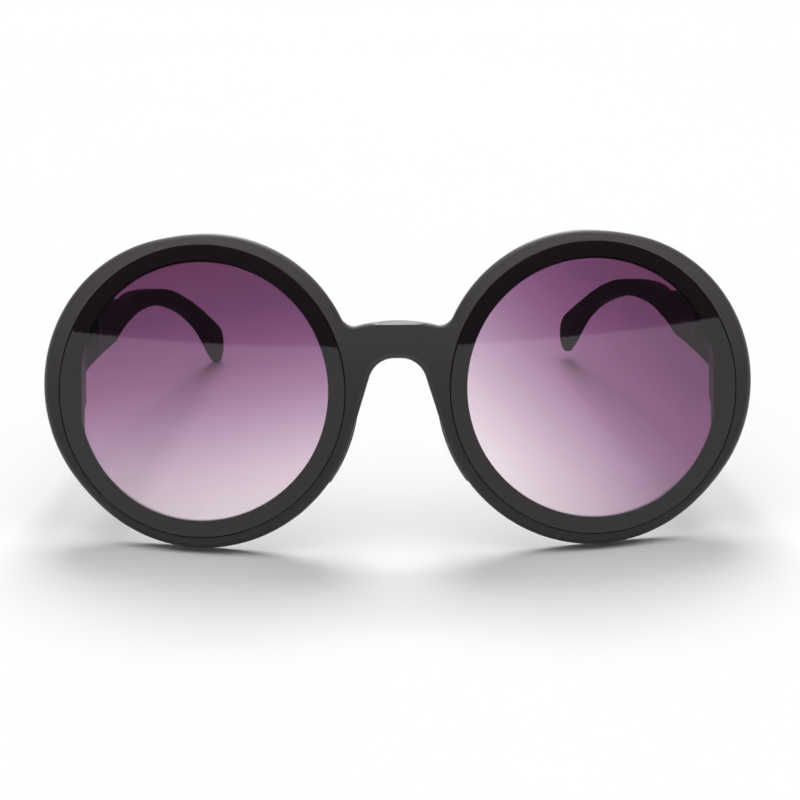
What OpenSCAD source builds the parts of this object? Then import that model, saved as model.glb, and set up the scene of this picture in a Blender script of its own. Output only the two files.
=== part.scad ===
// Oversized round sunglasses with flush lens discs, standing open on the rims and one temple tip.
// Left and right are the wearer's: left lies on the +X side, and the front faces -Y.
// Each piece is drawn in the upright frame of the front, then the whole is leaned back onto the ground.
// In that frame Z = 0 is the height of the lens centres and Y = 0 is the face of the bridge.

/* [Lenses] */
// Distance between the two lens centres
lens_spacing = 83.2; // [80:0.2:92]
// Diameter of each lens disc
lens_d = 61.2; // [56:0.2:63]
// Thickness of each lens disc
lens_t = 2; // [1.5:0.1:2.4]
// Groove left between the lens edge and the rim
lens_gap = 0.15; // [0.1:0.05:0.3]
// Thickness of the bond ring that holds the lens on its ledge
bond_t = 0.15; // [0.1:0.05:0.3]
// Gap between the bond ring and the opening's edge
bond_inset = 0.1; // [0.1:0.1:1]

/* [Front] */
// Rim width outside the lens at its top and bottom
rim_w = 2.3; // [1.6:0.1:3.4]
// How far the rim ring lies nearer to the nose than its lens
rim_inset = 0.4; // [0:0.1:0.8]
// Extra rim width at the temple side
swell_w = 1.65; // [1:0.05:2.4]
// Direction of that swelling above the horizontal, in degrees
swell_deg = 22.4; // [10:0.2:30]
// Extra rim width at the upper nose side
nose_swell_w = 0.55; // [0.2:0.05:1]
// Direction of the nose side's swelling above the horizontal, in degrees
nose_swell_deg = 55; // [40:1:65]
// Width of the ledge behind the lens edge
ledge_w = 3.4; // [3:0.1:4.5]
// Thickness of the front
front_t = 5; // [4.4:0.1:6]
// Radius of the front's wrap around the face
wrap_r = 210; // [180:5:400]

/* [Bridge] */
// Height of the crown of the bridge above the lens centres
bridge_top = 14.5; // [12:0.1:17]
// Height of the bridge at its middle
bridge_h = 7.9; // [6:0.1:9]
// Radius of the crowned top of the bridge
crown_r = 33.6; // [28:0.2:50]
// Radius of the fillets between the crown and the rims
fillet_r = 3.1; // [2:0.1:4]
// Depth of the flat bevel on the crown's front edge
bevel_depth = 1.3; // [0.6:0.1:2]
// Share of the gap between the rims that the nose arch spans
arch_share = 0.74; // [0.6:0.01:0.85]
// Share of the nose arch's half width that its corner radius takes
corner_share = 0.9; // [0.5:0.01:0.95]

/* [Nose pads] */
// Length of each nose pad
pad_len = 15; // [11:0.5:17]
// Width of each nose pad at its root
pad_w = 4.4; // [3.5:0.1:4.8]
// Height of each nose pad behind the front
pad_rise = 4.4; // [3:0.1:6]
// Place of the pad on the rim, in degrees below the horizontal
pad_deg = 22; // [15:1:30]
// Slant of the pad's nose side, in degrees
pad_slant = 25; // [10:1:30]

/* [Temples] */
// Reach from the face of the bridge to the temple tips
reach = 145; // [135:0.5:155]
// Distance from the front's outer edge to the inner face of the temple
temple_inset = 8.6; // [7:0.1:9.2]
// Thickness of each temple
temple_t = 3.6; // [3.2:0.1:4.2]
// Height of the temple's top edge above the lens centres, at the hinge
temple_top = 21; // [19:0.2:22]
// Height of the temple at the hinge
temple_h = 17.2; // [14:0.2:18]
// Height of the temple between the kinks of its two edges
kink_h = 10.3; // [9:0.1:12]
// Height of the slim neck of the temple over the ear
neck_h = 4.2; // [3.8:0.1:6]
// Rise of the top edge from the kink to the crest over the ear
crest_rise = 3.3; // [2:0.1:5]
// Radius of the temple's inward bow
bow_r = 390; // [350:5:700]
// Height of the upright end of the tip between its two corner centres
tip_end_h = 4.3; // [4:0.1:6]
// Radius of the tip's upper corner
tip_top_r = 5.3; // [3:0.1:5.5]
// Radius of the tip's lower corner
tip_low_r = 1.2; // [1:0.1:2.5]
// Height of the flat core wire
wire_h = 1.4; // [1:0.1:1.6]
// Thickness of the flat core wire
wire_t = 1.2; // [0.8:0.1:1.4]

/* [Hinges] */
// Depth of the lug behind the rim
lug_depth = 5.7; // [5.2:0.1:7]
// Height of the lug's lower end against the lens centres
lug_low = -2.7; // [-4:0.1:0]
// Depth of the thin foot below the lug, behind the rim
foot_depth = 3.1; // [2:0.1:4]
// Height of the foot's lower end against the lens centres
foot_low = -10; // [-12:0.1:-6]
// Offset of the hinge axis from the inner face of the temple
hinge_off = 2; // [1.9:0.05:2.4]
// Height of the hinge
hinge_h = 6; // [5:0.1:8]
// Height of the hinge's middle knuckle
knuckle_h = 2; // [1.6:0.1:2.4]
// Diameter of the hinge barrel
barrel_d = 2.9; // [2.6:0.05:3.1]
// Diameter of the hinge screw
screw_d = 1.4; // [1:0.05:1.5]
// Thickness of the hinge leaves
leaf_t = 1; // [0.8:0.05:1.2]
// Length of the leaf on the temple
temple_leaf_l = 10; // [8.5:0.1:12]
// Diameter of the small screws that hold the leaves
pin_d = 1; // [0.8:0.05:1.1]
// Length of those screws in the lug or the temple
pin_l = 2.2; // [1.4:0.1:2.4]

/* [Stance] */
// Lean of the front when it stands on the rims and the right temple's tip, in degrees
lean = 15.6; // [14.5:0.1:16.5]
// How far the left temple is swung in from its open stop, in degrees
left_fold = 1.35; // [0:0.05:4]
// How far the left temple is tipped up within the play of its hinge, in degrees
left_lift = 0.95; // [0:0.05:1.2]

/* [Hidden] */
$fn = 96;
// Facets of the large wrap and bow cylinders
wide_fn = 480;
// Steps along each curve of the temple's outline
curve_steps = 10;
// Overrun of every cut past the surface that it opens
over = 1;

// Radii of the rim, its swelling, the opening behind the lens and the lens recess
lens_r = lens_d / 2;
rim_r = lens_r + rim_w;
opening_r = lens_r - ledge_w;
recess_r = lens_r + lens_gap;
lens_x = lens_spacing / 2;
rim_x = lens_x - rim_inset;
swell_share = 0.951;
swell_r = swell_share * rim_r;
swell_off = rim_r + swell_w - swell_r;
swell_at = [lens_x + swell_off * cos(swell_deg), swell_off * sin(swell_deg)];
outer_x = lens_x + rim_r + swell_w;
nose_swell_off = rim_r + nose_swell_w - swell_r;
nose_swell_at = [rim_x - nose_swell_off * cos(nose_swell_deg), nose_swell_off * sin(nose_swell_deg)];
seat_t = lens_t + bond_t;
// Gap between the edge of the bond ring and the edge of the lens
bond_margin = 0.5;

// Outline of the bridge: crown circle, fillets to the swellings of the rims, and the nose arch below
rim_at = [rim_x, 0];
// How far the bridge's outline dips into the rims that it joins
weld = 0.04;
weld_r = rim_r - weld;
crown_at = [0, bridge_top - crown_r];
fillet_at = meet(crown_at, crown_r + fillet_r, nose_swell_at, swell_r + fillet_r);
crown_foot = toward(crown_at, fillet_at, crown_r);
rim_foot = toward(nose_swell_at, fillet_at, swell_r - weld);
arch_half = arch_share * (rim_x - rim_r);
corner_r = corner_share * arch_half;
arch_top = bridge_top - bridge_h;
corner_at = [arch_half - corner_r, arch_top - corner_r];
corner_to_rim = rim_at - corner_at;
flank_deg = angle_of(corner_to_rim) + acos((corner_r + weld_r) / norm(corner_to_rim));
flank_foot = rim_at - weld_r * [cos(flank_deg), sin(flank_deg)];
web_half = concat(
    arc(crown_at, crown_r, 90, angle_of(crown_foot - crown_at)),
    tail(arc(fillet_at, fillet_r, angle_of(crown_foot - fillet_at), angle_of(nose_swell_at - fillet_at))),
    [rim_foot, rim_at - [opening_r, 0], flank_foot],
    arc(corner_at, corner_r, flank_deg, 90)
);
web_last = len(web_half) - 1;

// Nose pad: a dome on the rear face, kept to the nose side of the rim ring
pad_edge = 0.3;
pad_at = rim_at + (rim_r - pad_edge - pad_w / 2) * [-cos(pad_deg), -sin(pad_deg)];
pad_root_y = wrap_y(pad_at.x, front_t);
pad_dome_r = (pad_len * pad_len / 4 + pad_rise * pad_rise) / (2 * pad_rise);
pad_cone_len = pad_root_y + 2 * pad_rise;

// Hinge: the lug ends and the temple begins at joint_y, on either side of joint_gap
face_x = outer_x - temple_inset;
joint_y = wrap_y(face_x, front_t) + lug_depth;
joint_gap = 0.3;
hinge_x = face_x - hinge_off;
hinge_z = temple_top - temple_h / 2;
barrel_r = barrel_d / 2;
screw_r = screw_d / 2;
pin_r = pin_d / 2;
// How deep the leaves are let into the lug and the temple
leaf_sink = 0.3;
leaf_x = face_x + leaf_sink - leaf_t;
// Clearances around the hinge: between knuckles, round the screw, round the leaves and screws
knuckle_gap = 0.1;
screw_gap = 0.04;
fit_gap = 0.04;
lug_bury = 1.5;
lug_margin = 0.5;
lug_top = temple_top + lug_margin;
lug_end_w = temple_t + lug_margin / 2;
front_leaf_y = wrap_y(face_x, front_t) + lug_margin / 2;
// Side outline of the lug and its foot, with a slope between them
foot_y = joint_y - lug_depth + foot_depth;
lug_side = [
    [0, lug_top], [joint_y, lug_top], [joint_y, lug_low],
    [foot_y, lug_low - (lug_depth - foot_depth) / 2], [foot_y, foot_low], [0, foot_low]
];
front_leaf_end = joint_y - barrel_r;
temple_leaf_y = joint_y + barrel_r + joint_gap;
outer_knuckle_h = (hinge_h - knuckle_h) / 2 - knuckle_gap;
front_pin_y = (front_leaf_y + front_leaf_end) / 2;
front_pin_share = 0.27;
temple_pin_shares = [0.35, 0.75];
// Heads of the small screws and of the hinge screw
pin_head_r = 0.85;
pin_head_h = 0.35;
pin_slot_w = 0.25;
// Webs that join the knuckles to the leaves, clear of the screw heads
front_web_l = joint_y - front_pin_y - pin_head_r - knuckle_gap;
temple_web_l = barrel_r + leaf_t + joint_gap;
screw_head_r = 1.2;
screw_head_h = 0.8;
screw_tail = 0.2;
screw_slot_w = 0.35;

// Where the ground plane lies under the leaned front, and the front's foremost point
rim_low = [for (a = [-120:1:-60]) rim_at + rim_r * [cos(a), sin(a)]];
rim_front = [for (a = [-150:1:-60]) rim_at + rim_r * [cos(a), sin(a)]];
rest_drop = max([for (p = rim_low) wrap_y(p.x, front_t) * sin(lean) - p.y * cos(lean)]);
front_most = min([for (p = rim_front) wrap_y(p.x, 0) * cos(lean) + p.y * sin(lean)]);

// Side outline of the temple as [Y, Z] points
temple_l = reach - joint_y;
top_kink_share = 0.41;
low_kink_share = 0.3;
top_rise_share = 0.25;
low_rise_share = 0.5;
crest_top_share = 0.67;
crest_low_share = 0.65;
ear_top_share = 0.78;
ear_low_share = 0.89;
bend_share = 0.945;
end_corner_r = 3;
shoulder_drop = 0.3;
low_at = [reach - tip_low_r, (tip_low_r - rest_drop + (reach - tip_low_r) * sin(lean)) / cos(lean)];
top_at = [reach - tip_top_r, low_at.y + tip_end_h];
top_front = [joint_y + joint_gap, temple_top];
low_front = [joint_y + joint_gap, temple_top - temple_h];
top_kink = [joint_y + top_kink_share * temple_l, temple_top - shoulder_drop];
low_kink = [joint_y + low_kink_share * temple_l, top_kink.y - kink_h];
crest_top = [joint_y + crest_top_share * temple_l, top_kink.y + crest_rise];
crest_low = [joint_y + crest_low_share * temple_l, crest_top.y - neck_h];
top_rise = [top_kink.x + top_rise_share * (crest_top.x - top_kink.x), crest_top.y];
low_rise = [low_kink.x + low_rise_share * (crest_low.x - low_kink.x), crest_low.y];
// The edges turn down over the ear toward the corners of the tip
ear_top = [joint_y + ear_top_share * temple_l, crest_top.y];
ear_low = [joint_y + ear_low_share * temple_l, crest_low.y];
top_deg = angle_of(top_at - ear_top) + asin(tip_top_r / norm(top_at - ear_top));
low_deg = angle_of(low_at - ear_low) - asin(tip_low_r / norm(low_at - ear_low));
bend_y = joint_y + bend_share * temple_l;
top_bend = [bend_y, ear_top.y + (bend_y - ear_top.x) * tan(top_deg)];
low_bend = low_at + tip_low_r * [sin(low_deg), -cos(low_deg)];
back_most = top_at.x * cos(lean) + top_at.y * sin(lean) + tip_top_r;
end_corner_at = top_front + [end_corner_r, -end_corner_r];
temple_outline = concat(
    arc(end_corner_at, end_corner_r, 180, 90),
    blend(top_kink, top_rise, crest_top),
    blend(crest_top, ear_top, top_bend),
    [top_bend],
    arc(top_at, tip_top_r, 90 + top_deg, 0),
    [low_at + [tip_low_r, 0]],
    tail(arc(low_at, tip_low_r, 0, low_deg - 90)),
    blend(low_bend, ear_low, crest_low),
    blend(crest_low, low_rise, low_kink),
    [low_kink, low_front]
);

// Facet that carries the lug's rounded corner on into the temple, and the share that it fades over
facet_deg = 33;
facet_in = 0.8;
facet_share = 0.21;
facet_fade = atan((temple_t - facet_in) * cos(facet_deg) / (facet_share * temple_l));

// Route of the core wire, midway between the temple's edges from the kinks on, as [Y, Z] points
wire_start_share = 0.22;
wire_knee_share = 0.9;
wire_end_share = 0.75;
wire_start = low_front + [0, wire_start_share * temple_h];
wire_kink = (top_kink + low_kink) / 2;
wire_rise = (top_rise + low_rise) / 2;
wire_knee = wire_kink - wire_knee_share * (wire_rise - wire_kink);
wire_crest = (crest_top + crest_low) / 2;
wire_ear = (ear_top + ear_low) / 2;
wire_bend = (top_bend + low_bend) / 2;
wire_line = concat(
    blend(wire_start, wire_knee, wire_kink),
    blend(wire_kink, wire_rise, wire_crest),
    blend(wire_crest, wire_ear, wire_bend, wire_end_share),
    [on_bend(wire_crest, wire_ear, wire_bend, wire_end_share)]
);
wire_depth = (temple_t - wire_t) / 2;

// Depth along Y of the wrapped surface that lies d inside the front's face, at x
function wrap_y(x, d) = wrap_r - sqrt(pow(wrap_r - d, 2) - x * x);

// Direction of a vector, in degrees
function angle_of(v) = atan2(v.y, v.x);

// A list of points without its first and last
function tail(points) = [for (i = [1:len(points) - 2]) points[i]];

// Point at distance r from p on the line toward q
function toward(p, q, r) = p + r * (q - p) / norm(q - p);

// Upper meeting point of a circle of radius rp round p and one of radius rq round q
function meet(p, rp, q, rq) =
    let (d = norm(q - p), u = (q - p) / d, a = (rp * rp - rq * rq + d * d) / (2 * d))
    p + a * u + sqrt(rp * rp - a * a) * [-u.y, u.x];

// Points of an arc round c from angle a0 to angle a1
function arc(c, r, a0, a1) =
    [for (i = [0:curve_steps]) let (a = a0 + (a1 - a0) * i / curve_steps) c + r * [cos(a), sin(a)]];

// Point at share t of a smooth bend from a to c that leaves and arrives along the lines to b
function on_bend(a, b, c, t) = (1 - t) * (1 - t) * a + 2 * t * (1 - t) * b + t * t * c;

// Points of such a bend up to a share of it, without the last
function blend(a, b, c, share = 1) =
    [for (i = [0:curve_steps - 1]) on_bend(a, b, c, share * i / curve_steps)];

// Leans the upright frame back until the rims and the right tip touch the ground, centred along Y
module set_down() {
    translate([0, -(front_most + back_most) / 2, rest_drop])
        rotate([-lean, 0, 0])
            children();
}

// The same piece on the right side
module right() {
    mirror([1, 0, 0]) children();
}

// Turns a piece of the left temple about its hinge: tipped up in the hinge's play, then swung in
module turned() {
    translate([hinge_x, joint_y, hinge_z])
        rotate([left_lift, 0, left_fold])
            translate([-hinge_x, -joint_y, -hinge_z])
                children();
}

// Extrudes a front view outline through the whole depth of the front
module through() {
    translate([0, wrap_r / 2, 0])
        rotate([90, 0, 0])
            linear_extrude(wrap_r / 2 + over)
                children();
}

// Layer of the wrapped front between two depths inside its face
module layer(d0, d1) {
    translate([0, wrap_r, -2 * rim_r])
        difference() {
            cylinder(h = 4 * rim_r, r = wrap_r - d0, $fn = wide_fn);
            translate([0, 0, -over])
                cylinder(h = 4 * rim_r + 2 * over, r = wrap_r - d1, $fn = wide_fn);
        }
}

// All that lies behind the wrapped surface at depth d
module behind(d) {
    translate([0, wrap_r, -2 * rim_r])
        cylinder(h = 4 * rim_r, r = wrap_r - d, $fn = wide_fn);
}

// Both sides of a front view shape drawn for the left
module both_sides() {
    children();
    mirror([1, 0]) children();
}

// Web between the rims: crown and fillets above, nose arch and straight flanks below
module web_outline() {
    polygon(concat(web_half, [for (i = [web_last:-1:1]) [-web_half[i].x, web_half[i].y]]));
}

// Front before its recesses: both rims with their two swellings, and the web between them
module front_blank() {
    intersection() {
        union() {
            through() both_sides() translate(rim_at) circle(rim_r, $fn = 2 * $fn);
            through() both_sides() translate(swell_at) circle(swell_r, $fn = 2 * $fn);
            through() both_sides() translate(nose_swell_at) circle(swell_r, $fn = 2 * $fn);
            through() web_outline();
        }
        layer(0, front_t);
    }
}

// Flat bevel along the crown's front edge, between the feet of its fillets
module crown_bevel() {
    translate([-crown_foot.x, 0, 0])
        rotate([90, 0, 90])
            linear_extrude(2 * crown_foot.x)
                polygon([
                    [-over, crown_foot.y], [0, crown_foot.y], [bevel_depth, bridge_top],
                    [bevel_depth, bridge_top + over], [-over, bridge_top + over]
                ]);
}

// Lug behind the left rim that carries the hinge, with its foot
module lug() {
    intersection() {
        through() translate(swell_at) circle(swell_r - lug_margin, $fn = 2 * $fn);
        sideways() polygon(lug_side);
        translate([0, 0, foot_low - over])
            linear_extrude(lug_top - foot_low + 2 * over)
                polygon([
                    [face_x, 0], [face_x, joint_y], [face_x + lug_end_w, joint_y],
                    [outer_x, joint_y - lug_depth], [outer_x, 0]
                ]);
        behind(front_t - lug_bury);
    }
}

// Recess and screw holes for the left front leaf
module lug_cuts() {
    leaf_pocket(front_leaf_y - fit_gap, joint_y - front_leaf_y + fit_gap + over);
    front_pins() pin_hole();
}

module front_frame() {
    color("#4a4647")
        set_down()
            difference() {
                union() {
                    difference() {
                        front_blank();
                        intersection() {
                            through() both_sides() translate([lens_x, 0]) circle(recess_r, $fn = 2 * $fn);
                            layer(-over, seat_t);
                        }
                        through() both_sides() translate([lens_x, 0]) circle(opening_r, $fn = 2 * $fn);
                        crown_bevel();
                    }
                    lug();
                    right() lug();
                }
                lug_cuts();
                right() lug_cuts();
            }
}

// Lens disc, flush with the face of the front
module lens() {
    color([0.42, 0.24, 0.42, 0.6])
        intersection() {
            through() translate([lens_x, 0]) circle(lens_r, $fn = 2 * $fn);
            layer(0, lens_t);
        }
}

// Thin bond ring between the lens and its ledge
module lens_bond() {
    color("#1c1a1b")
        intersection() {
            through()
                translate([lens_x, 0])
                    difference() {
                        circle(lens_r - bond_margin, $fn = 2 * $fn);
                        circle(opening_r + bond_inset, $fn = 2 * $fn);
                    }
            layer(lens_t, seat_t);
        }
}

// Nose pad: a dome whose nose side slants away from the nose
module nose_pad() {
    slant = tan(pad_slant);
    root_r = rim_r - pad_edge;
    color("#434041")
        intersection() {
            behind(front_t);
            translate([pad_at.x, pad_root_y - pad_dome_r + pad_rise, pad_at.y]) sphere(pad_dome_r);
            translate([rim_x, 0, 0])
                rotate([-90, 0, 0])
                    difference() {
                        cylinder(
                            h = pad_cone_len,
                            r1 = root_r + pad_root_y * slant,
                            r2 = root_r + (pad_root_y - pad_cone_len) * slant
                        );
                        translate([0, 0, -over])
                            cylinder(h = pad_cone_len + 2 * over, r = root_r - pad_w);
                    }
        }
}

// Space between two upright cylinders that share the temple's bow, from depth d0 to d1
module bowed(d0, d1) {
    translate([face_x - bow_r, joint_y, -2 * rim_r])
        difference() {
            cylinder(h = 4 * rim_r, r = bow_r + d1, $fn = 2 * wide_fn);
            translate([0, 0, -over])
                cylinder(h = 4 * rim_r + 2 * over, r = bow_r + d0, $fn = 2 * wide_fn);
        }
}

// Extrudes a side view outline across the left half
module sideways() {
    rotate([90, 0, 90])
        linear_extrude(outer_x)
            children();
}

// Strip of height h along the core wire's route
module wire_strip(h) {
    half = [0, h / 2];
    last = len(wire_line) - 1;
    polygon(concat(
        [for (p = wire_line) p + half],
        [for (i = [last:-1:0]) wire_line[i] - half]
    ));
}

// Cuts the upper outer corner of the temple's front end
module end_facet() {
    size = 2 * temple_h;
    translate([face_x + facet_in, joint_y, temple_top])
        rotate([0, -facet_deg, 0])
            rotate([0, 0, -facet_fade])
                translate([0, -size, -size])
                    cube([size, size + temple_l, 2 * size]);
}

// Temple arm with its leaf recess, screw holes and wire channel
module temple() {
    color("#434041")
        difference() {
            intersection() {
                sideways() polygon(temple_outline);
                bowed(0, temple_t);
            }
            end_facet();
            leaf_pocket(joint_y - over, temple_leaf_l + temple_leaf_y - joint_y + fit_gap + over);
            temple_pins() pin_hole();
            intersection() {
                sideways() {
                    wire_strip(wire_h + 2 * fit_gap);
                    translate(wire_start - [over, wire_h / 2 + fit_gap])
                        square([over, wire_h + 2 * fit_gap]);
                }
                bowed(wire_depth - fit_gap, wire_depth + wire_t + fit_gap);
            }
        }
}

// Flat wire inside the temple
module core_wire() {
    color("#9a9ca0")
        intersection() {
            sideways() wire_strip(wire_h);
            bowed(wire_depth, wire_depth + wire_t);
        }
}

// Shallow pocket for a hinge leaf, from y over length l
module leaf_pocket(y, l) {
    translate([face_x - over, y, hinge_z - hinge_h / 2 - fit_gap])
        cube([over + leaf_sink, l, hinge_h + 2 * fit_gap]);
}

// Places of the small screws of the front leaf
module front_pins() {
    for (side = [-1, 1])
        translate([leaf_x, front_pin_y, hinge_z + side * front_pin_share * hinge_h]) children();
}

// Places of the small screws of the temple leaf
module temple_pins() {
    for (share = temple_pin_shares)
        translate([leaf_x, temple_leaf_y + share * temple_leaf_l, hinge_z]) children();
}

// Hole for a small screw, from the face of the leaf outwards
module pin_hole() {
    rotate([0, 90, 0])
        translate([0, 0, -over])
            cylinder(h = over + leaf_t + pin_l + fit_gap, r = pin_r + fit_gap);
}

// Small slotted screw whose head lies on the face of the leaf
module pin() {
    color("#2e2f33")
        rotate([0, 90, 0]) {
            cylinder(h = leaf_t + pin_l, r = pin_r);
            translate([0, 0, -pin_head_h])
                difference() {
                    cylinder(h = pin_head_h, r = pin_head_r);
                    translate([-pin_slot_w / 2, -pin_head_r - over, -over])
                        cube([pin_slot_w, 2 * (pin_head_r + over), over + pin_head_h / 2]);
                }
        }
}

// Knuckle of the hinge barrel from height z over height h
module knuckle(z, h) {
    translate([hinge_x, joint_y, z]) cylinder(h = h, r = barrel_r);
}

// Bore of the hinge screw through all knuckles
module screw_bore() {
    translate([hinge_x, joint_y, hinge_z - hinge_h])
        cylinder(h = 2 * hinge_h, r = screw_r + screw_gap);
}

// Leaf on the lug with the two outer knuckles
module front_leaf() {
    low_z = hinge_z - hinge_h / 2;
    high_z = hinge_z + knuckle_h / 2 + knuckle_gap;
    color("#2e2f33")
        difference() {
            union() {
                translate([leaf_x, front_leaf_y, low_z])
                    cube([leaf_t, front_leaf_end - front_leaf_y, hinge_h]);
                for (z = [low_z, high_z]) {
                    knuckle(z, outer_knuckle_h);
                    translate([hinge_x, joint_y - front_web_l, z])
                        cube([hinge_off, front_web_l, outer_knuckle_h]);
                }
            }
            screw_bore();
            front_pins() pin_hole();
        }
}

// Leaf on the temple with the middle knuckle
module temple_leaf() {
    mid_z = hinge_z - knuckle_h / 2;
    color("#2e2f33")
        difference() {
            union() {
                translate([leaf_x, temple_leaf_y, hinge_z - hinge_h / 2])
                    cube([leaf_t, temple_leaf_l, hinge_h]);
                knuckle(mid_z, knuckle_h);
                translate([hinge_x, joint_y + joint_gap, mid_z])
                    cube([hinge_off, temple_web_l, knuckle_h]);
            }
            screw_bore();
            temple_pins() pin_hole();
        }
}

// Screw that is the hinge's pivot, with a slotted head on the top knuckle
module hinge_screw() {
    color("#2e2f33")
        translate([hinge_x, joint_y, hinge_z - hinge_h / 2 - screw_tail]) {
            cylinder(h = hinge_h + screw_tail, r = screw_r);
            translate([0, 0, hinge_h + screw_tail])
                difference() {
                    cylinder(h = screw_head_h, r = screw_head_r);
                    translate([-screw_slot_w / 2, -screw_head_r - over, screw_head_h / 2])
                        cube([screw_slot_w, 2 * (screw_head_r + over), over + screw_head_h]);
                }
        }
}

module lens_left() { set_down() lens(); }
module lens_right() { set_down() right() lens(); }
module lens_bond_left() { set_down() lens_bond(); }
module lens_bond_right() { set_down() right() lens_bond(); }
module nose_pad_left() { set_down() nose_pad(); }
module nose_pad_right() { set_down() right() nose_pad(); }
module temple_left() { set_down() turned() temple(); }
module temple_right() { set_down() right() temple(); }
module core_wire_left() { set_down() turned() core_wire(); }
module core_wire_right() { set_down() right() core_wire(); }
module front_leaf_left() { set_down() front_leaf(); }
module front_leaf_right() { set_down() right() front_leaf(); }
module temple_leaf_left() { set_down() turned() temple_leaf(); }
module temple_leaf_right() { set_down() right() temple_leaf(); }
module hinge_screw_left() { set_down() hinge_screw(); }
module hinge_screw_right() { set_down() right() hinge_screw(); }
module front_leaf_screws_left() { set_down() front_pins() pin(); }
module front_leaf_screws_right() { set_down() right() front_pins() pin(); }
module temple_leaf_screws_left() { set_down() turned() temple_pins() pin(); }
module temple_leaf_screws_right() { set_down() right() temple_pins() pin(); }

front_frame();
lens_left();
lens_right();
lens_bond_left();
lens_bond_right();
nose_pad_left();
nose_pad_right();
temple_left();
temple_right();
core_wire_left();
core_wire_right();
front_leaf_left();
front_leaf_right();
temple_leaf_left();
temple_leaf_right();
hinge_screw_left();
hinge_screw_right();
front_leaf_screws_left();
front_leaf_screws_right();
temple_leaf_screws_left();
temple_leaf_screws_right();
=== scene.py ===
from math import acos, asin, atan, atan2, cos, degrees, hypot, pi, radians, sin, sqrt, tan

import bpy
from mathutils import Matrix, Vector


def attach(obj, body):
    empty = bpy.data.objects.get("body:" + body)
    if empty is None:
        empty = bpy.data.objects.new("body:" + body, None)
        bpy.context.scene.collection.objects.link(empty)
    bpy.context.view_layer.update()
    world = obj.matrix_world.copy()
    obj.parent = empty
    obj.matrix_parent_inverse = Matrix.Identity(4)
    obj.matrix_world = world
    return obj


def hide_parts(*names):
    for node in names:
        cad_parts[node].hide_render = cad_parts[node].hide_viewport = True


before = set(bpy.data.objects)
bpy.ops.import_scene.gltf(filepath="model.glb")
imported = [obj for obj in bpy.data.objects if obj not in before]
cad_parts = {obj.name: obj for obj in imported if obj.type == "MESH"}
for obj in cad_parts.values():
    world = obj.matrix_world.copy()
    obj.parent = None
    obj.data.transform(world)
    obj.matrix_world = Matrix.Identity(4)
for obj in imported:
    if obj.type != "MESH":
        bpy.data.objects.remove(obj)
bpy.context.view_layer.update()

# The front and the temples are shaped in millimetres in the upright frame of the front, as in the
# part's source: X to the wearer's left, Y back from the face of the bridge, Z up from the lens centres.
MM = 0.001

# Sizes of the part's source
LENS_SPACING, LENS_R, LENS_T, LENS_GAP, BOND_T = 83.2, 30.6, 2.0, 0.15, 0.15
RIM_W, RIM_INSET, SWELL_SHARE = 2.3, 0.4, 0.951
SWELL_W, SWELL_DEG, NOSE_SWELL_W, NOSE_SWELL_DEG = 1.65, 22.4, 0.55, 55
LEDGE_W, FRONT_T, WRAP_R = 3.4, 5.0, 210.0
BRIDGE_TOP, BRIDGE_H, CROWN_R, FILLET_R, BEVEL_DEPTH = 14.5, 7.9, 33.6, 3.1, 1.3
ARCH_SHARE, CORNER_SHARE = 0.74, 0.9
REACH, TEMPLE_INSET, TEMPLE_T, TEMPLE_TOP, TEMPLE_H = 145.0, 8.6, 3.6, 21.0, 17.2
KINK_H, NECK_H, CREST_RISE, BOW_R = 10.3, 4.2, 3.3, 390.0
TIP_END_H, TIP_TOP_R, TIP_LOW_R = 4.3, 5.3, 1.2
TOP_KINK_SHARE, LOW_KINK_SHARE, TOP_RISE_SHARE, LOW_RISE_SHARE = 0.41, 0.3, 0.25, 0.5
CREST_TOP_SHARE, CREST_LOW_SHARE = 0.67, 0.65
EAR_TOP_SHARE, EAR_LOW_SHARE, BEND_SHARE = 0.78, 0.89, 0.945
END_CORNER_R, SHOULDER_DROP, FACET_DEG, FACET_IN, FACET_SHARE = 3.0, 0.3, 33, 0.8, 0.21
LUG_DEPTH, LUG_LOW, LUG_MARGIN = 5.7, -2.7, 0.5
FOOT_DEPTH, FOOT_LOW = 3.1, -10.0
HINGE_OFF, HINGE_H, BARREL_D, JOINT_GAP, LEAF_L, LEAF_SINK = 2.0, 6.0, 2.9, 0.3, 10.0, 0.3
FIT_GAP = 0.04
LEAN, LEFT_FOLD, LEFT_LIFT = 15.6, 1.35, 0.95
BOND_W, BOND_MARGIN = 2.8, 0.5
PAD_LEN, PAD_W, PAD_RISE, PAD_DEG, PAD_SLANT, PAD_EDGE, PAD_SINK = 15.0, 4.4, 4.4, 22, 25, 0.3, 1.2

# Sizes that only the scene has: rounded edges, and the edge angles from which lugs and pads get them
FRONT_EDGE, BACK_EDGE, RECESS_EDGE, OPENING_EDGE = 1.1, 0.75, 0.14, 0.4
LUG_EDGE, LUG_EDGE_DEG, PAD_SOFT_EDGE, PAD_EDGE_DEG = 0.35, 35, 0.45, 24
TEMPLE_EDGE, LENS_EDGE = 0.7, 0.12
# How far the flat cuts lie apart that let a piece curve, and how far they reach on the front
FRONT_STEP, FRONT_CUTS, LENS_STEP, TEMPLE_STEP, TIP_STEP = 2, 74, 1.6, 2.5, 0.5
# The bond ring's gap to its ledge, and how far it wets the lens
HAIR, WETTED = 0.02, 0.08
# Height, length and share by which the foot of the tips is thinned
TIP_THIN_H, TIP_THIN_L, TIP_THIN_SHARE = 4.5, 12.0, 0.6
# Over how many points each way the rim's outline is blended
BLEND_STEPS = 7
# Where the lugs start inside the front, how far a tool reaches past its cut, and what counts as equal
LUG_ROOT_Y, PAST, NEAR, RING_NEAR = 15.5, 1, 0.01, 0.02


def toward(angle, r=1.0):
    """Vector of length r at an angle in degrees."""
    return Vector((r * cos(radians(angle)), r * sin(radians(angle))))


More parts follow.
